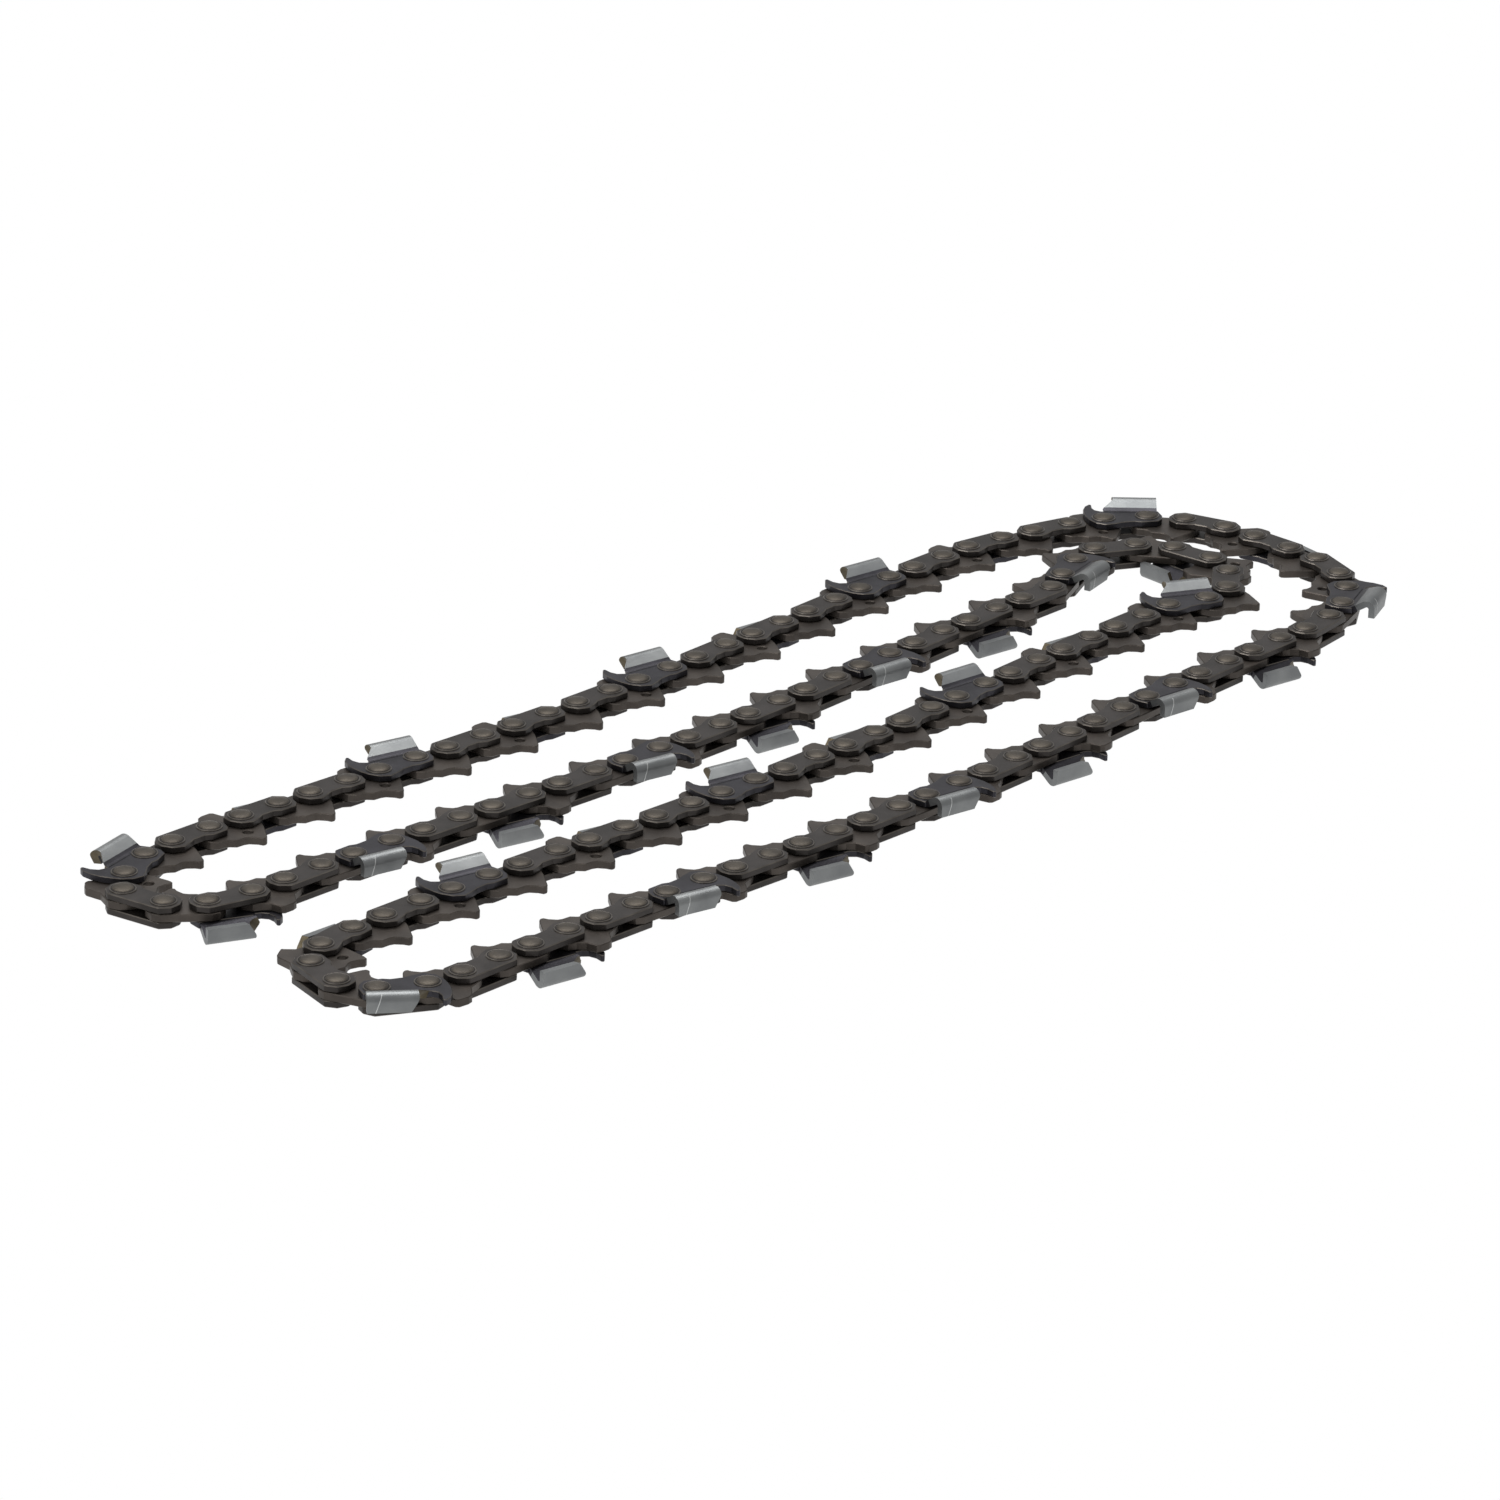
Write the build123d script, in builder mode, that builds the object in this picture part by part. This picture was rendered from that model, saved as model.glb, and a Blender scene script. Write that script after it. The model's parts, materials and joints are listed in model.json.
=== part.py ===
"""Saw chain loop lying on its side, folded into two legs as it comes out of its pack.

Frame: millimetres, X along the straight runs, Y across them, Z up from the surface it lies on.
The loop is followed rivet by rivet, tangs to the right of the way it is followed.
Rivets are numbered from 0 at the front rivet of the first upper cutter. Side links join an even
rivet to the next one, drive links an odd rivet to the next one.
"""

import os
from math import atan2, cos, degrees, hypot, pi, radians, sin, sqrt

from build123d import *

# Driving dimensions
PITCH_PAIR = 16.51          # one side link and one drive link, twice the .325 inch pitch
SIDE_SPACING = 8.95         # rivet spacing of a side link
DRIVE_SPACING = PITCH_PAIR - SIDE_SPACING
RIVETS = 144
GAUGE = 1.5                 # drive link thickness
PLATE = 1.25                # side plate thickness
PLAY = 0.05                 # side clearance between a drive link and a plate
HUB_RADIUS = 2.15           # rivet hub that a drive link turns on
HUB_CLEARANCE = 0.06
SHANK_RADIUS = 1.55         # rivet shank in the side plates
HEAD_RADIUS = 2.45
HEAD_EDGE = 0.2
HEAD_HEIGHT = 0.65
OIL_HOLE_RADIUS = 0.95
FILE_RADIUS = 2.4           # round file that cuts the gullet and the edge
FILE_CENTRE = (-3.9, 6.96, 3.9)
FILE_ANGLE = 28             # slant of the cutting edge, degrees
TOP_SLOPE = 10.2            # fall of the top plate towards the heel, degrees
TOP_HEIGHT = 8.45           # top plate above the rivet line at the cutting edge
FLARE_HEIGHT = 3.6          # where the side plate starts to lean out
FLARE_REACH = 5.0           # where it would meet the top plate in a sharp corner
HOOD_FILLET = 1.6           # rounding of that corner
HOOD_LENGTH = 11.06
HOOD_START = (-4.5, 0.31)
TOP_INNER = 0.4             # inner edge of the top plate, from the middle plane

# How the loop lies
RUN_LINKS = 13              # link pairs in each straight run
RUN_BOW = 3.4               # each run sags in the middle, degrees either way
FRONT_LEAN = 0.35           # the two front runs lie slightly askew, degrees
START_X, START_Y = 94.3, 39.0
OUTER_BEND = [-9, -12, -16, -23, -36, -54, -74, -89, -91, -95, -112, -130, -147, -161, -172, -181]
LEFT_BACK_BEND = [165, 139, 100, 46, 24, 8]
LEFT_FRONT_BEND = [180, 174, 150, 110, 76, 33, 8, 1]
INNER_BEND_START = [-18, 8, 38, 66, 95, 123]
INNER_BEND_END = [204, 204]

PLATE_BASE = GAUGE / 2 + PLAY
PLATE_FACE = PLATE_BASE + PLATE
HALF_SIDE = SIDE_SPACING / 2
HALF_DRIVE = DRIVE_SPACING / 2
DOME_RISE = HEAD_HEIGHT - HEAD_EDGE
DOME_RADIUS = (HEAD_RADIUS**2 + DOME_RISE**2) / (2 * DOME_RISE)


def step(start, heading, length):
    """The rivet reached from another along a heading."""
    return (start[0] + length * cos(radians(heading)), start[1] + length * sin(radians(heading)))


def spacing(index):
    return SIDE_SPACING if index % 2 == 0 else DRIVE_SPACING


def loop_rivets():
    """Rivet centres of the loop at rest, before it is centred."""
    rivet = {}

    def follow(first, headings):
        for index, heading in enumerate(headings, first):
            rivet[(index + 1) % RIVETS] = step(rivet[index % RIVETS], heading, spacing(index))

    def follow_back(last, headings):
        for back, heading in enumerate(reversed(headings), 1):
            index = last - back
            ahead = rivet[(index + 1) % RIVETS]
            rivet[index % RIVETS] = step(ahead, heading + 180, spacing(index))

    bow = [-RUN_BOW * sin(2 * pi * (place + 0.5) / RUN_LINKS) for place in range(RUN_LINKS)]
    back_right = [heading for heading in bow for link in range(2)]
    front_right = [heading + FRONT_LEAN for heading in back_right]
    back_left = [heading + 180 for heading in reversed(back_right)]
    front_left = [heading + 180 for heading in reversed(front_right)]

    rivet[28] = (START_X, START_Y)
    follow(28, OUTER_BEND)
    follow(44, front_left)
    follow(70, LEFT_FRONT_BEND)
    follow(78, front_right)
    follow(104, INNER_BEND_START)
    follow_back(28, back_right)
    follow_back(146, LEFT_BACK_BEND)
    follow_back(140, back_left)
    follow_back(114, INNER_BEND_END)

    # The last rivet is where the two links that meet on it cross
    near, far = rivet[110], rivet[112]
    across, up = far[0] - near[0], far[1] - near[1]
    gap = hypot(across, up)
    along = (SIDE_SPACING**2 - DRIVE_SPACING**2 + gap**2) / (2 * gap)
    aside = sqrt(SIDE_SPACING**2 - along**2)
    rivet[111] = (
        near[0] + (across * along + up * aside) / gap,
        near[1] + (up * along - across * aside) / gap,
    )
    return [rivet[index] for index in range(RIVETS)]


# Tie strap, shown as an upper one: front rivet at -x, outside of the loop at +y
STRAP_OUTLINE = [
    (-5.6, 3.1), (5.6, 3.1), (7.3, 1.5), (7.62, -0.4), (7.1, -2.0), (6.0, -3.1), (2.7, -3.1),
    (1.4, -2.3), (-1.2, -2.3), (-2.5, -2.9), (-4.6, -3.6), (-6.6, -2.6), (-7.55, -0.6), (-7.3, 1.5),
]
with BuildPart() as tie_strap:
    with BuildSketch(Plane.XY.offset(PLATE_BASE)):
        with BuildLine():
            Polyline(*STRAP_OUTLINE, close=True)
        make_face()
        fillet(vertices(), 0.5)
        with Locations((-HALF_SIDE, 0), (HALF_SIDE, 0)):
            Circle(SHANK_RADIUS, mode=Mode.SUBTRACT)
    extrude(amount=PLATE)
    tie_strap.part.label = "tie strap"

# Upper cutter: side plate with depth gauge, and the plate folded over towards the middle
CUTTER_OUTLINE = [
    (-7.55, -0.6), (-7.8, 1.0), (-7.85, 3.2), (-7.5, 5.2), (-6.7, 7.0), (-5.6, 8.0), (-5.2, 7.6),
    (-5.5, 6.0), (-5.2, 4.6), (-4.2, 3.7), (-3.0, 3.5), (7.35, 2.0), (7.6, -0.4), (7.1, -2.0),
    (6.0, -3.2), (2.7, -3.3), (1.4, -2.8), (-1.0, -2.9), (-2.5, -3.4), (-4.8, -3.9), (-6.6, -2.7),
]
HOOD_PLANE = Plane(
    origin=(*HOOD_START, 0),
    x_dir=(sin(radians(TOP_SLOPE)), cos(radians(TOP_SLOPE)), 0),
    z_dir=(cos(radians(TOP_SLOPE)), -sin(radians(TOP_SLOPE)), 0),
)
FILE_PLANE = Plane(origin=FILE_CENTRE, z_dir=(-sin(radians(FILE_ANGLE)), 0, cos(radians(FILE_ANGLE))))
with BuildPart() as upper_cutter:
    with BuildSketch(Plane.XY.offset(PLATE_BASE)):
        with BuildLine():
            Polyline(*CUTTER_OUTLINE, close=True)
        make_face()
        fillet(vertices(), 0.3)
    extrude(amount=PLATE)
    with BuildSketch(HOOD_PLANE):
        with BuildLine():
            outer = FilletPolyline(
                (2.4, PLATE_FACE), (FLARE_HEIGHT, PLATE_FACE), (TOP_HEIGHT, FLARE_REACH),
                (TOP_HEIGHT, TOP_INNER), radius=HOOD_FILLET,
            )
            offset(outer, amount=PLATE, side=Side.RIGHT, closed=True)
        make_face()
    extrude(amount=HOOD_LENGTH)
    with BuildSketch(FILE_PLANE):
        Circle(FILE_RADIUS)
    extrude(amount=8, both=True, mode=Mode.SUBTRACT)
    with BuildSketch(Plane.XY.offset(PLATE_BASE)):
        with Locations((-HALF_SIDE, 0), (HALF_SIDE, 0)):
            Circle(SHANK_RADIUS)
    extrude(amount=4, mode=Mode.SUBTRACT)
    upper_cutter.part.label = "upper cutter"

# Drive links: the tang runs in the bar groove, and the bumper link has a hump and an oil hole
TANG_OUTLINE = [
    (7.0, -0.6), (6.4, -2.6), (5.6, -4.2), (4.4, -5.9), (2.9, -8.0), (2.3, -8.5), (1.6, -8.4),
    (1.2, -7.4), (0.2, -6.2), (-0.6, -5.9), (-2.3, -5.8), (-3.3, -4.8), (-4.0, -4.5), (-5.4, -4.4),
    (-6.4, -3.2), (-7.0, -0.8),
]
PLAIN_TOP = [(-7.0, 0.6), (-6.0, 2.5), (-4.6, 3.2), (4.6, 3.2), (6.0, 2.5), (7.0, 0.6)]
HUMP_TOP = [
    (-7.0, 0.6), (-6.0, 2.5), (-4.6, 3.2), (-2.6, 4.0), (-0.6, 6.6), (0.3, 6.9), (2.3, 6.9),
    (2.9, 6.4), (3.3, 4.4), (4.6, 3.2), (6.0, 2.5), (7.0, 0.6),
]
with BuildPart() as plain_drive_link:
    with BuildSketch(Plane.XY.offset(-GAUGE / 2)):
        with BuildLine():
            Polyline(*PLAIN_TOP, *TANG_OUTLINE, close=True)
        make_face()
        fillet(vertices(), 0.3)
        with Locations((-HALF_DRIVE, 0), (HALF_DRIVE, 0)):
            Circle(HUB_RADIUS + HUB_CLEARANCE, mode=Mode.SUBTRACT)
    extrude(amount=GAUGE)
    plain_drive_link.part.label = "drive link"

with BuildPart() as bumper_drive_link:
    with BuildSketch(Plane.XY.offset(-GAUGE / 2)):
        with BuildLine():
            Polyline(*HUMP_TOP, *TANG_OUTLINE, close=True)
        make_face()
        fillet(vertices(), 0.3)
        with Locations((-HALF_DRIVE, 0), (HALF_DRIVE, 0)):
            Circle(HUB_RADIUS + HUB_CLEARANCE, mode=Mode.SUBTRACT)
        with Locations((1.6, -4.3)):
            Circle(OIL_HOLE_RADIUS, mode=Mode.SUBTRACT)
    extrude(amount=GAUGE)
    bumper_drive_link.part.label = "bumper drive link"

# Rivet: hub in the drive link, shank in the plates, a domed head at both ends
with BuildPart() as rivet_pin:
    with BuildSketch(Plane.XZ):
        with BuildLine():
            Polyline(
                (0, 0), (HUB_RADIUS, 0), (HUB_RADIUS, PLATE_BASE), (SHANK_RADIUS, PLATE_BASE),
                (SHANK_RADIUS, PLATE_FACE), (HEAD_RADIUS, PLATE_FACE),
                (HEAD_RADIUS, PLATE_FACE + HEAD_EDGE),
            )
            RadiusArc(
                (HEAD_RADIUS, PLATE_FACE + HEAD_EDGE), (0, PLATE_FACE + HEAD_HEIGHT), -DOME_RADIUS
            )
            Line((0, PLATE_FACE + HEAD_HEIGHT), (0, 0))
        make_face()
    revolve(axis=Axis.Z)
    mirror(about=Plane.XY)
    rivet_pin.part.label = "rivet"

# Lower straps and cutters are the upper ones turned over
with BuildPart() as lower_strap:
    mirror(tie_strap.part, about=Plane.XY)
    lower_strap.part.label = "lower tie strap"

with BuildPart() as lower_cutter:
    mirror(upper_cutter.part, about=Plane.XY)
    lower_cutter.part.label = "lower cutter"

RIVET_CENTRES = loop_rivets()


def between(piece, first, second):
    """A copy of a link laid between two rivets."""
    start, end = RIVET_CENTRES[first % RIVETS], RIVET_CENTRES[second % RIVETS]
    heading = degrees(atan2(end[1] - start[1], end[0] - start[0]))
    middle = ((start[0] + end[0]) / 2, (start[1] + end[1]) / 2, 0)
    copy = piece.part.moved(Location(middle, (0, 0, heading)))
    copy.label = piece.part.label
    return copy


def link_pair(pair):
    """The side link with its two rivets, and the drive link after it."""
    first = 2 * pair
    pieces = [
        between(upper_cutter if pair % 4 == 0 else tie_strap, first, first + 1),
        between(lower_cutter if pair % 4 == 2 else lower_strap, first, first + 1),
        between(plain_drive_link if pair % 2 == 0 else bumper_drive_link, first + 1, first + 2),
    ]
    for index in (first, first + 1):
        centre = RIVET_CENTRES[index % RIVETS]
        pin = rivet_pin.part.moved(Location((centre[0], centre[1], 0)))
        pin.label = "rivet"
        pieces.append(pin)
    return pieces


def pair_kind(pair):
    if pair % 4 == 0:
        return "upper_cutter"
    if pair % 4 == 2:
        return "lower_cutter"
    return "strap_link"


# One node for every link pair of the straight runs and one for each bend
groups = {"outer_bend": range(14, 22), "left_front_bend": range(35, 39)}
groups["inner_bend"] = range(52, 57)
groups["left_back_bend"] = range(70, 73)
for run_name, first_pair in (
    ("back_outer_run", 1),
    ("front_outer_run", 22),
    ("front_inner_run", 39),
    ("back_inner_run", 57),
):
    for place in range(RUN_LINKS):
        pair = first_pair + place
        groups[f"{run_name}_{place + 1:02d}_{pair_kind(pair)}"] = [pair]

solids = {}
for name, pairs in groups.items():
    solids[name] = [piece for pair in pairs for piece in link_pair(pair % (RIVETS // 2))]

boxes = [piece.bounding_box() for pieces in solids.values() for piece in pieces]
low_x, high_x = min(box.min.X for box in boxes), max(box.max.X for box in boxes)
low_y, high_y = min(box.min.Y for box in boxes), max(box.max.Y for box in boxes)
shift = Location((-(low_x + high_x) / 2, -(low_y + high_y) / 2, -min(box.min.Z for box in boxes)))

os.makedirs("parts", exist_ok=True)
for name, pieces in solids.items():
    node = Compound(label=name, children=[piece.moved(shift) for piece in pieces])
    export_step(node, f"parts/{name}.step")
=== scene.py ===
"""Looks of the saw chain loop: chamfered links, chromed cutters and domed rivets on white."""

import json
from math import atan2, cos, hypot, pi, radians, sin, sqrt, tan

import bmesh
import bpy
from mathutils import Euler, Matrix, Vector


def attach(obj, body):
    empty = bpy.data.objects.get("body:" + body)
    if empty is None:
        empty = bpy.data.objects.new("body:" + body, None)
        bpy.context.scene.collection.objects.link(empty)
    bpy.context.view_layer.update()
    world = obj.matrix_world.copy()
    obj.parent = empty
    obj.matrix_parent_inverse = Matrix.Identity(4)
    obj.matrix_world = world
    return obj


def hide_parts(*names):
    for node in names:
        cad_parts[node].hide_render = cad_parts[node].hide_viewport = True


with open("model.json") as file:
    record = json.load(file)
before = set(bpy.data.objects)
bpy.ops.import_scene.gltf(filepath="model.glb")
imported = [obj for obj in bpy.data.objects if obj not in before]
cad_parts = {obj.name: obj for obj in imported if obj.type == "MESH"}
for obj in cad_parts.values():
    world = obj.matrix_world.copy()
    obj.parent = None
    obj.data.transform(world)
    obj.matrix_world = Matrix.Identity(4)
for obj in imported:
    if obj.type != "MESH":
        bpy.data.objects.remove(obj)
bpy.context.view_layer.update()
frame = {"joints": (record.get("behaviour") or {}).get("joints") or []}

# Dimensions in mm, as in the part
PITCH_PAIR = 16.51
SIDE_SPACING = 8.95
DRIVE_SPACING = PITCH_PAIR - SIDE_SPACING
RIVETS = 144
GAUGE = 1.5
PLATE = 1.25
PLATE_BASE = 0.8
PLATE_FACE = PLATE_BASE + PLATE
HEAD_RADIUS = 2.45
HEAD_HEIGHT = 0.65
FILE_RADIUS = 2.4
FILE_ANGLE = radians(28)
TOP_SLOPE = radians(10.2)
TOP_HEIGHT = 8.45
TOP_INNER = 0.4
FLARE_HEIGHT = 3.6
FLARE_REACH = 5.0
HOOD_FILLET = 1.6
HOOD_LENGTH = 11.06
HOOD_START = (-4.5, 0.31)
FILE_CENTRE = Vector((-3.9, 6.96, 3.9))
FILE_AXIS = Vector((-sin(FILE_ANGLE), 0, cos(FILE_ANGLE)))
HOOD_ACROSS = Vector((sin(TOP_SLOPE), cos(TOP_SLOPE), 0))
HOOD_ALONG = Vector((cos(TOP_SLOPE), -sin(TOP_SLOPE), 0))

# Details that only the looks have, in mm
STRAP_CORNER = 0.5
LINK_CORNER = 0.3
EDGE_CHAMFER = 0.16
CUTTER_CHAMFER = 0.12
HOOD_FOOT = 3.0             # where the hood starts, inside the side plate
CHROME_HEIGHT = 4.4         # the side plate is blue-black below this height
RIM_HEIGHT = 0.2
RIM_WIDTH = 0.2
GROOVE_WIDTH = 0.45         # rim with a painted highlight and groove painted dark, oil with painted shade, together
HEAD_SUNK = 0.05
WITNESS_FROM_HEEL = 3.2
WITNESS_SLANT = 0.35
WITNESS_WIDTH = 0.16
WITNESS_LIFT = 0.02
WITNESS_DEPTH = 0.05

# How finely curves are drawn
CORNER_SHARE = 0.45         # of an outline's side, at most, goes to one rounded corner
FLARE_STEPS = 6
FOLD_STEPS = 10
RIVET_STEPS = 24
SHARP_ANGLE = radians(38)

# How the loop lies, as in the part
RUN_LINKS = 13
RUN_BOW = 3.4
FRONT_LEAN = 0.35
START = (94.3, 39.0)
SWING_RIVET = 28            # the one at the start, where the back leg swings
OUTER_BEND = [-9, -12, -16, -23, -36, -54, -74, -89, -91, -95, -112, -130, -147, -161, -172, -181]
LEFT_BACK_BEND = [165, 139, 100, 46, 24, 8]
LEFT_FRONT_BEND = [180, 174, 150, 110, 76, 33, 8, 1]
INNER_BEND_START = [-18, 8, 38, 66, 95, 123]
INNER_BEND_END = [204, 204]

# Outlines, front rivet at -x and the outside of the loop at +y
STRAP_OUTLINE = [
    (-5.6, 3.1), (5.6, 3.1), (7.3, 1.5), (7.62, -0.4), (7.1, -2.0), (6.0, -3.1), (2.7, -3.1),
    (1.4, -2.3), (-1.2, -2.3), (-2.5, -2.9), (-4.6, -3.6), (-6.6, -2.6), (-7.55, -0.6), (-7.3, 1.5),
]
CUTTER_OUTLINE = [
    (-7.55, -0.6), (-7.8, 1.0), (-7.85, 3.2), (-7.5, 5.2), (-6.7, 7.0), (-5.6, 8.0), (-5.2, 7.6),
    (-5.5, 6.0), (-5.2, 4.6), (-4.2, 3.7), (-3.0, 3.5), (-2.5, 3.95), (7.35, 2.2), (7.6, -0.4),
    (7.1, -2.0), (6.0, -3.2), (2.7, -3.3), (1.4, -2.8), (-1.0, -2.9), (-2.5, -3.4), (-4.8, -3.9),
    (-6.6, -2.7),
]
TANG_OUTLINE = [
    (7.0, -0.6), (6.4, -2.6), (5.6, -4.2), (4.4, -5.9), (2.9, -8.0), (2.3, -8.5), (1.6, -8.4),
    (1.2, -7.4), (0.2, -6.2), (-0.6, -5.9), (-2.3, -5.8), (-3.3, -4.8), (-4.0, -4.5), (-5.4, -4.4),
    (-6.4, -3.2), (-7.0, -0.8),
]
PLAIN_TOP = [(-7.0, 0.6), (-6.0, 2.5), (-4.6, 3.2), (4.6, 3.2), (6.0, 2.5), (7.0, 0.6)]
HUMP_TOP = [
    (-7.0, 0.6), (-6.0, 2.5), (-4.6, 3.2), (-2.6, 4.0), (-0.6, 6.6), (0.3, 6.9), (2.3, 6.9),
    (2.9, 6.4), (3.3, 4.4), (4.6, 3.2), (6.0, 2.5), (7.0, 0.6),
]
OIL_HOLE = (1.6, -4.3, 0.95)

# The bright rim colour is a painted highlight on rivet rims, and edge wear with a painted highlight
# on chamfers
STRAP, DRIVE, CUTTER_SIDE, CHROME, FILED, RIVET, RIM_HIGHLIGHT_AND_WEAR, WITNESS = range(8)


def step(start, heading, length):
    return (start[0] + length * cos(radians(heading)), start[1] + length * sin(radians(heading)))


def spacing(index):
    return SIDE_SPACING if index % 2 == 0 else DRIVE_SPACING


def loop_rivets():
    """Rivet centres of the loop at rest, before it is centred."""
    rivet = {}

    def follow(first, headings):
        for index, heading in enumerate(headings, first):
            rivet[(index + 1) % RIVETS] = step(rivet[index % RIVETS], heading, spacing(index))

    def follow_back(last, headings):
        for back, heading in enumerate(reversed(headings), 1):
            index = last - back
            ahead = rivet[(index + 1) % RIVETS]
            rivet[index % RIVETS] = step(ahead, heading + 180, spacing(index))

    bow = [-RUN_BOW * sin(2 * pi * (place + 0.5) / RUN_LINKS) for place in range(RUN_LINKS)]
    back_right = [bow[place // 2] for place in range(2 * RUN_LINKS)]
    front_right = [heading + FRONT_LEAN for heading in back_right]
    back_left = [heading + 180 for heading in reversed(back_right)]
    front_left = [heading + 180 for heading in reversed(front_right)]

    rivet[SWING_RIVET] = START
    follow(SWING_RIVET, OUTER_BEND)
    follow(44, front_left)
    follow(70, LEFT_FRONT_BEND)
    follow(78, front_right)
    follow(104, INNER_BEND_START)
    follow_back(SWING_RIVET, back_right)
    follow_back(146, LEFT_BACK_BEND)
    follow_back(140, back_left)
    follow_back(114, INNER_BEND_END)

    near, far = rivet[110], rivet[112]
    across, up = far[0] - near[0], far[1] - near[1]
    gap = hypot(across, up)
    along = (SIDE_SPACING**2 - DRIVE_SPACING**2 + gap**2) / (2 * gap)
    aside = sqrt(SIDE_SPACING**2 - along**2)
    rivet[111] = (
        near[0] + (across * along + up * aside) / gap,
        near[1] + (up * along - across * aside) / gap,
    )
    return [rivet[index] for index in range(RIVETS)]


def rounded(points, radius, steps=3):
    """The same outline with each corner turned into a short curve."""
    curve = []
    for index, corner in enumerate(points):
        corner = Vector(corner)
        before = Vector(points[index - 1]) - corner
        after = Vector(points[(index + 1) % len(points)]) - corner
        turn = pi - before.angle(after)
        longest = CORNER_SHARE * min(before.length, after.length)
        reach = min(radius * tan(turn / 2), longest)
        start = corner + before.normalized() * reach
        end = corner + after.normalized() * reach
        for place in range(steps + 1):
            t = place / steps
            curve.append(start * (1 - t) ** 2 + corner * 2 * t * (1 - t) + end * t**2)
    return curve


def circle(x, y, radius, steps=20):
    return [
        Vector((x + radius * cos(2 * pi * k / steps), y + radius * sin(2 * pi * k / steps)))
        for k in range(steps)
    ]


def plate(outline, low, high, material, chamfer=EDGE_CHAMFER, holes=(), worn_and_highlight=None):
    """A stamped plate with chamfered edges, whose chamfers can take a brighter colour: edge wear
    with a painted highlight.
    """
    made = bmesh.new()
    for loop in [outline, *holes]:
        corners = [made.verts.new((point.x, point.y, low)) for point in loop]
        for index, corner in enumerate(corners):
            made.edges.new((corners[index - 1], corner))
    bmesh.ops.triangle_fill(made, use_beauty=True, edges=made.edges[:])
    bmesh.ops.recalc_face_normals(made, faces=made.faces[:])
    raised = bmesh.ops.extrude_face_region(made, geom=made.faces[:])["geom"]
    up = Vector((0, 0, high - low))
    lifted = [item for item in raised if isinstance(item, bmesh.types.BMVert)]
    bmesh.ops.translate(made, vec=up, verts=lifted)
    bmesh.ops.recalc_face_normals(made, faces=made.faces[:])
    rim = []
    for edge in made.edges:
        steep = sorted(abs(face.normal.z) for face in edge.link_faces)
        if len(steep) == 2 and steep[0] < 0.5 < steep[1]:
            rim.append(edge)
    bmesh.ops.bevel(made, geom=rim, offset=chamfer, segments=1, affect="EDGES")
    for face in made.faces:
        # Slanted chamfer faces take the brighter colour, edge wear with a painted highlight
        slanted = 0.3 < abs(face.normal.z) < 0.9
        face.material_index = worn_and_highlight if slanted and worn_and_highlight is not None else material
        face.smooth = True
    return made


def fillet_arc(before, corner, after, radius, steps):
    """Points of a rounded corner of the hood's section."""
    before, corner, after = Vector(before), Vector(corner), Vector(after)
    start_way = (before - corner).normalized()
    end_way = (after - corner).normalized()
    half = start_way.angle(end_way) / 2
    centre = corner + (start_way + end_way).normalized() * (radius / sin(half))
    start = corner + start_way * (radius / tan(half))
    end = corner + end_way * (radius / tan(half))
    first = atan2(start.y - centre.y, start.x - centre.x)
    turn = atan2(end.y - centre.y, end.x - centre.x) - first
    turn = (turn + pi) % (2 * pi) - pi
    return [
        centre + radius * Vector((cos(first + turn * k / steps), sin(first + turn * k / steps)))
        for k in range(steps + 1)
    ]


def outward(points, index):
    """Unit vector out of the hood's section at one of the points of its outer line."""
    ahead = points[min(index + 1, len(points) - 1)] - points[max(index - 1, 0)]
    return Vector((-ahead.y, ahead.x)).normalized()


def hood_place(point):
    """Where a point of the hood's section lies at the front of the hood."""
    return Vector((*HOOD_START, 0)) + HOOD_ACROSS * point.x + Vector((0, 0, point.y))


def hood_ends(point):
    """Both ends of the straight line along the hood, from the filed hollow to the heel."""
    base = hood_place(point)
    offset = (base - FILE_CENTRE) - FILE_AXIS * (base - FILE_CENTRE).dot(FILE_AXIS)
    way = HOOD_ALONG - FILE_AXIS * HOOD_ALONG.dot(FILE_AXIS)
    middle = -offset.dot(way) / way.dot(way)
    short = FILE_RADIUS**2 - (offset + way * middle).length_squared
    front = middle + sqrt(max(short, 0) / way.dot(way))
    return base + HOOD_ALONG * max(front, 0), base + HOOD_ALONG * HOOD_LENGTH


def add_witness_line(made, outside):
    """Adds the bright line that slants across the top plate near the heel."""
    # From the middle of the fold to the inner edge
    top = outside[-FOLD_STEPS // 2 - 2:]
    rings = []
    for index, point in enumerate(top):
        front = HOOD_LENGTH - WITNESS_FROM_HEEL + WITNESS_SLANT * (FLARE_REACH - point.y)
        back = front + WITNESS_WIDTH
        above = hood_place(point + outward(top, index) * WITNESS_LIFT)
        below = hood_place(point - outward(top, index) * WITNESS_DEPTH)
        ring = [(above, front), (above, back), (below, back), (below, front)]
        rings.append([made.verts.new(base + HOOD_ALONG * length) for base, length in ring])
    faces = [rings[0], rings[-1]]
    for low, high in zip(rings, rings[1:]):
        for side in range(4):
            faces.append([low[side - 1], low[side], high[side], high[side - 1]])
    for corners in faces:
        made.faces.new(corners).material_index = WITNESS


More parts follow.
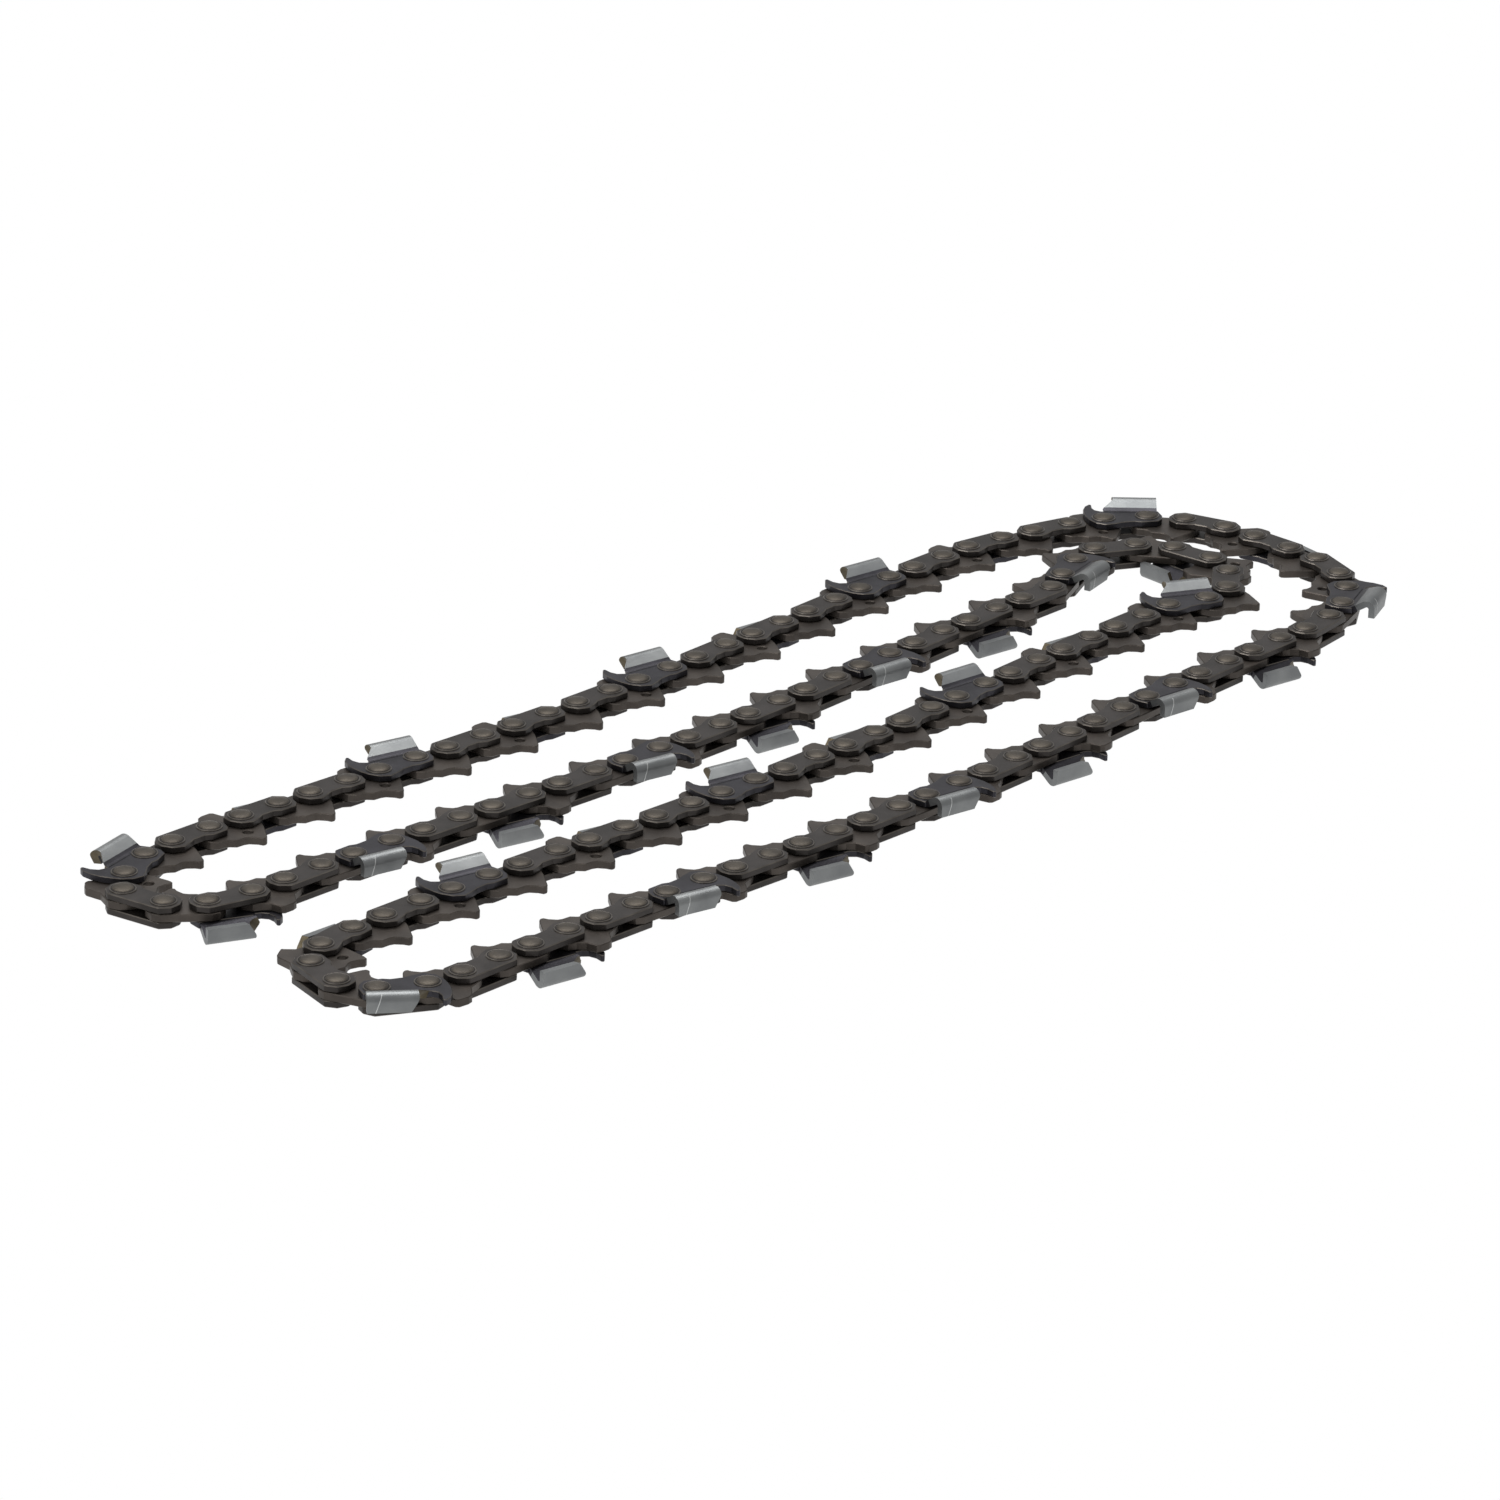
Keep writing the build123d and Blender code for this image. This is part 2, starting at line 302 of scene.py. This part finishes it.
def hood(marked):
    """The cutter's flared side and folded top, filed to an edge at the front."""
    foot, flare = (HOOD_FOOT, PLATE_FACE), (FLARE_HEIGHT, PLATE_FACE)
    corner, inner = (TOP_HEIGHT, FLARE_REACH), (TOP_HEIGHT, TOP_INNER)
    lean = (FLARE_REACH - PLATE_FACE) / (TOP_HEIGHT - FLARE_HEIGHT)
    outside = [Vector(foot)]
    outside += fillet_arc(foot, flare, corner, HOOD_FILLET, FLARE_STEPS)
    outside.append(Vector((CHROME_HEIGHT, PLATE_FACE + (CHROME_HEIGHT - FLARE_HEIGHT) * lean)))
    outside += fillet_arc(flare, corner, inner, HOOD_FILLET, FOLD_STEPS)
    outside.append(Vector(inner))

    made = bmesh.new()
    rows = []
    for index, point in enumerate(outside):
        ends = [*hood_ends(point), *hood_ends(point - outward(outside, index) * PLATE)]
        rows.append([made.verts.new(end) for end in ends])
    for low, high, point in zip(rows, rows[1:], outside):
        skin = CHROME if point.x >= CHROME_HEIGHT else CUTTER_SIDE
        for corners, material in (
            ((low[0], low[1], high[1], high[0]), skin),
            ((low[2], high[2], high[3], low[3]), CUTTER_SIDE),
            ((low[0], high[0], high[2], low[2]), FILED),
            ((low[1], low[3], high[3], high[1]), skin),
        ):
            face = made.faces.new(corners)
            face.material_index = material
            face.smooth = True
    for row, material in ((rows[0], CUTTER_SIDE), (rows[-1], CHROME)):
        made.faces.new((row[0], row[2], row[3], row[1])).material_index = material
    if marked:
        add_witness_line(made, outside)
    bmesh.ops.recalc_face_normals(made, faces=made.faces[:])
    return made


def strap(low, high):
    # Strap chamfers brighter: edge wear with a painted highlight
    return plate(rounded(STRAP_OUTLINE, STRAP_CORNER), low, high, STRAP, worn_and_highlight=RIM_HIGHLIGHT_AND_WEAR)


def cutter(marked):
    outline = rounded(CUTTER_OUTLINE, LINK_CORNER)
    # Side plate chamfers brighter: edge wear with a painted highlight
    side = plate(outline, PLATE_BASE, PLATE_FACE, CUTTER_SIDE, CUTTER_CHAMFER, worn_and_highlight=RIM_HIGHLIGHT_AND_WEAR)
    return joined(side, hood(marked))


def joined(*shapes):
    """Several shapes in one mesh."""
    whole = shapes[0]
    for shape in shapes[1:]:
        passing = bpy.data.meshes.new("passing")
        shape.to_mesh(passing)
        whole.from_mesh(passing)
        bpy.data.meshes.remove(passing)
    return whole


def turned_over(shape):
    """The shape mirrored in the loop's middle plane, for the lower side."""
    bmesh.ops.scale(shape, vec=(1, 1, -1), verts=shape.verts[:])
    bmesh.ops.reverse_faces(shape, faces=shape.faces[:])
    return shape


def rivet_head():
    """A domed rivet head on the upper side, its groove painted dark as oil with painted shade and
    its thin rim painted bright as a painted highlight.
    """
    rim = PLATE_FACE + RIM_HEIGHT
    profile = [
        (0, PLATE_FACE - HEAD_SUNK), (HEAD_RADIUS, PLATE_FACE - HEAD_SUNK),
        (HEAD_RADIUS, PLATE_FACE + 0.1), (HEAD_RADIUS - 0.1, rim), (HEAD_RADIUS - 0.22, rim),
        (HEAD_RADIUS - 0.36, rim - 0.1), (HEAD_RADIUS - 0.5, rim + 0.04),
        (1.75, PLATE_FACE + 0.4), (1.35, PLATE_FACE + 0.51), (0.9, PLATE_FACE + 0.58),
        (0.45, PLATE_FACE + 0.63), (0, PLATE_FACE + HEAD_HEIGHT),
    ]
    made = bmesh.new()
    line = [made.verts.new((radius, 0, height)) for radius, height in profile]
    edges = [made.edges.new(pair) for pair in zip(line, line[1:])]
    bmesh.ops.spin(
        made,
        geom=line + edges,
        axis=(0, 0, 1),
        cent=(0, 0, 0),
        angle=2 * pi,
        steps=RIVET_STEPS,
        use_merge=True,
    )
    bmesh.ops.remove_doubles(made, verts=made.verts[:], dist=0.0005)
    bmesh.ops.recalc_face_normals(made, faces=made.faces[:])
    for face in made.faces:
        middle = face.calc_center_median()
        wide = hypot(middle.x, middle.y)
        face.material_index = RIVET
        # Groove in the strap's dark colour is oil with painted shade; rim in the bright colour is a
        # painted highlight
        if wide > HEAD_RADIUS - GROOVE_WIDTH:
            face.material_index = RIM_HIGHLIGHT_AND_WEAR if wide > HEAD_RADIUS - RIM_WIDTH else STRAP
        face.smooth = True
    return made


def template(name, shape):
    mesh = bpy.data.meshes.new(name)
    shape.to_mesh(mesh)
    shape.free()
    return mesh


def drive_link(top, holes=()):
    outline = rounded(top + TANG_OUTLINE, LINK_CORNER, 2)
    return plate(outline, -GAUGE / 2, GAUGE / 2, DRIVE, holes=holes)


TEMPLATES = {
    "upper_strap": template("upper_strap", strap(PLATE_BASE, PLATE_FACE)),
    "lower_strap": template("lower_strap", strap(-PLATE_FACE, -PLATE_BASE)),
    "upper_cutter": template("upper_cutter", cutter(marked=True)),
    "lower_cutter": template("lower_cutter", turned_over(cutter(marked=False))),
    "plain_drive": template("plain_drive", drive_link(PLAIN_TOP)),
    "bumper_drive": template("bumper_drive", drive_link(HUMP_TOP, [circle(*OIL_HOLE)])),
    "rivet": template("rivet", joined(rivet_head(), turned_over(rivet_head()))),
}

# The loop is centred in the part, so one pivot tells how far it was moved
PATH = loop_rivets()
swing = next(joint for joint in frame["joints"] if joint["name"] == "back_leg_swing")
MOVED = Vector(swing["pos_m"]) * 1000 - Vector((*PATH[SWING_RIVET], 0))


def rivet_place(index):
    x, y = PATH[index % RIVETS]
    return Vector((x, y, 0)) + MOVED


def laid(shape, name, first, second):
    """Adds a copy of a link between two rivets."""
    start, end = rivet_place(first), rivet_place(second)
    way = end - start
    turn = Matrix.Rotation(atan2(way.y, way.x), 4, "Z")
    place = Matrix.Scale(0.001, 4) @ Matrix.Translation((start + end) / 2) @ turn
    already = len(shape.verts)
    shape.from_mesh(TEMPLATES[name])
    shape.verts.ensure_lookup_table()
    bmesh.ops.transform(shape, matrix=place, verts=shape.verts[already:])


def link_pair(shape, pair):
    first = 2 * pair
    laid(shape, "upper_cutter" if pair % 4 == 0 else "upper_strap", first, first + 1)
    laid(shape, "lower_cutter" if pair % 4 == 2 else "lower_strap", first, first + 1)
    laid(shape, "plain_drive" if pair % 2 == 0 else "bumper_drive", first + 1, first + 2)
    for index in (first, first + 1):
        laid(shape, "rivet", index, index)


def pair_kind(pair):
    if pair % 4 == 0:
        return "upper_cutter"
    return "lower_cutter" if pair % 4 == 2 else "strap_link"


def linear(code):
    """A hex colour as the linear values that shaders use."""
    parts = [int(code[place:place + 2], 16) / 255 for place in (0, 2, 4)]
    return [p / 12.92 if p <= 0.04045 else ((p + 0.055) / 1.055) ** 2.4 for p in parts] + [1]


def add_node(tree, kind, inputs=(), **settings):
    node = tree.nodes.new(kind)
    for key, value in settings.items():
        setattr(node, key, value)
    for key, value in dict(inputs).items():
        if isinstance(value, bpy.types.NodeSocket):
            tree.links.new(value, node.inputs[key])
        else:
            node.inputs[key].default_value = value
    return node


def steel(name, dark, light, metallic, rough, patch_mm, bump=0.15):
    """Oiled or plated steel with soft patches of colour and a fine grain."""
    material = bpy.data.materials.new(name)
    material.use_nodes = True
    tree = material.node_tree
    shader = tree.nodes["Principled BSDF"]
    place = add_node(tree, "ShaderNodeTexCoord").outputs["Object"]
    patch = add_node(
        tree, "ShaderNodeTexNoise", {"Vector": place, "Scale": 1000 / patch_mm, "Detail": 3}
    )
    grain = add_node(tree, "ShaderNodeTexNoise", {"Vector": place, "Scale": 3000, "Detail": 2})
    spread = add_node(
        tree,
        "ShaderNodeMapRange",
        {"Value": patch.outputs["Fac"], "From Min": 0.35, "From Max": 0.65},
    )
    tone = add_node(tree, "ShaderNodeMix", {"Factor": spread.outputs["Result"]}, data_type="RGBA")
    tone.inputs["A"].default_value = linear(dark)
    tone.inputs["B"].default_value = linear(light)
    tree.links.new(tone.outputs["Result"], shader.inputs["Base Color"])
    gloss = add_node(
        tree,
        "ShaderNodeMapRange",
        {"Value": grain.outputs["Fac"], "To Min": rough - 0.08, "To Max": rough + 0.08},
    )
    tree.links.new(gloss.outputs["Result"], shader.inputs["Roughness"])
    relief = add_node(
        tree,
        "ShaderNodeBump",
        {"Height": grain.outputs["Fac"], "Strength": bump, "Distance": 0.00005},
    )
    tree.links.new(relief.outputs["Normal"], shader.inputs["Normal"])
    shader.inputs["Metallic"].default_value = metallic
    return material


MATERIALS = [
    steel("dark oiled steel strap", "2d2a28", "3b3735", 0.75, 0.42, 6),
    steel("brown oiled steel drive link", "3c3733", "4c4641", 0.75, 0.42, 6),
    steel("blue-black hardened cutter side", "2b2a2e", "38373c", 0.8, 0.4, 6),
    steel("chromed cutter plate", "6e7071", "808282", 0.9, 0.44, 8, 0.05),
    steel("filed cutting edge", "4a4334", "5d5443", 0.8, 0.44, 3),
    steel("bronze-brown rivet head", "3a352f", "4a443c", 0.7, 0.5, 3),
    # Bright rim colour: a painted highlight on rivet rims, and edge wear with a painted highlight
    # on chamfers
    steel("bright rim, painted highlight and edge wear", "57524d", "69645e", 0.9, 0.32, 3),
    steel("bright witness line", "b4b6b5", "c6c8c7", 0.9, 0.4, 3),
]

GROUPS = {
    "outer_bend": range(14, 22),
    "left_front_bend": range(35, 39),
    "inner_bend": range(52, 57),
    "left_back_bend": range(70, 73),
}
for run_name, first_pair in (
    ("back_outer_run", 1),
    ("front_outer_run", 22),
    ("front_inner_run", 39),
    ("back_inner_run", 57),
):
    for place in range(RUN_LINKS):
        pair = first_pair + place
        GROUPS[f"{run_name}_{place + 1:02d}_{pair_kind(pair)}"] = [pair]

for node_name, pairs in GROUPS.items():
    shape = bmesh.new()
    for pair in pairs:
        link_pair(shape, pair % (RIVETS // 2))
    mesh = bpy.data.meshes.new(f"{node_name}_links")
    shape.to_mesh(mesh)
    shape.free()
    mesh.set_sharp_from_angle(angle=SHARP_ANGLE)
    for material in MATERIALS:
        mesh.materials.append(material)
    piece = bpy.data.objects.new(f"{node_name}_links", mesh)
    bpy.context.scene.collection.objects.link(piece)
    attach(piece, node_name)
    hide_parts(node_name)

for mesh in TEMPLATES.values():
    bpy.data.meshes.remove(mesh)

# Floor
floor_mesh = bpy.data.meshes.new("floor")
floor_shape = bmesh.new()
bmesh.ops.create_grid(floor_shape, x_segments=1, y_segments=1, size=6)
floor_shape.to_mesh(floor_mesh)
floor_shape.free()
floor = bpy.data.objects.new("floor", floor_mesh)
bpy.context.scene.collection.objects.link(floor)
white = bpy.data.materials.new("white paper floor")
white.use_nodes = True
paper = white.node_tree.nodes["Principled BSDF"]
paper.inputs["Base Color"].default_value = linear("000000")
paper.inputs["Roughness"].default_value = 1
paper.inputs["Specular IOR Level"].default_value = 0
paper.inputs["Emission Color"].default_value = linear("ffffff")
paper.inputs["Emission Strength"].default_value = 1
floor_mesh.materials.append(white)

# Light
scene = bpy.context.scene
scene.world = bpy.data.worlds.new("studio")
scene.world.use_nodes = True
background = scene.world.node_tree.nodes["Background"]
background.inputs["Color"].default_value = linear("ffffff")
background.inputs["Strength"].default_value = 0.55


def softbox(name, location, target, width, height, power):
    lamp = bpy.data.lights.new(name, "AREA")
    lamp.shape = "RECTANGLE"
    lamp.size = width
    lamp.size_y = height
    lamp.energy = power
    made = bpy.data.objects.new(name, lamp)
    made.location = location
    made.rotation_euler = (Vector(target) - Vector(location)).to_track_quat("-Z", "Y").to_euler()
    scene.collection.objects.link(made)


softbox("top softbox", (0.1, 0.25, 0.9), (0, 0, 0), 0.9, 0.6, 9)
softbox("left softbox", (-0.9, 0.1, 0.5), (0, 0, 0), 0.5, 0.5, 3)

# Camera at the photo's angle
view = bpy.data.cameras.new("camera")
view.sensor_width = 36
view.lens = 166.59
view.clip_start = 0.05
view.clip_end = 20
camera = bpy.data.objects.new("camera", view)
camera.location = (-0.8900, -0.80227, 0.49161)
camera.rotation_euler = Euler((radians(67.678), radians(-1.237), radians(-47.007)), "XYZ")
scene.collection.objects.link(camera)
scene.camera = camera
scene.render.resolution_x = 1500
scene.render.resolution_y = 1500
scene.view_settings.view_transform = "Standard"
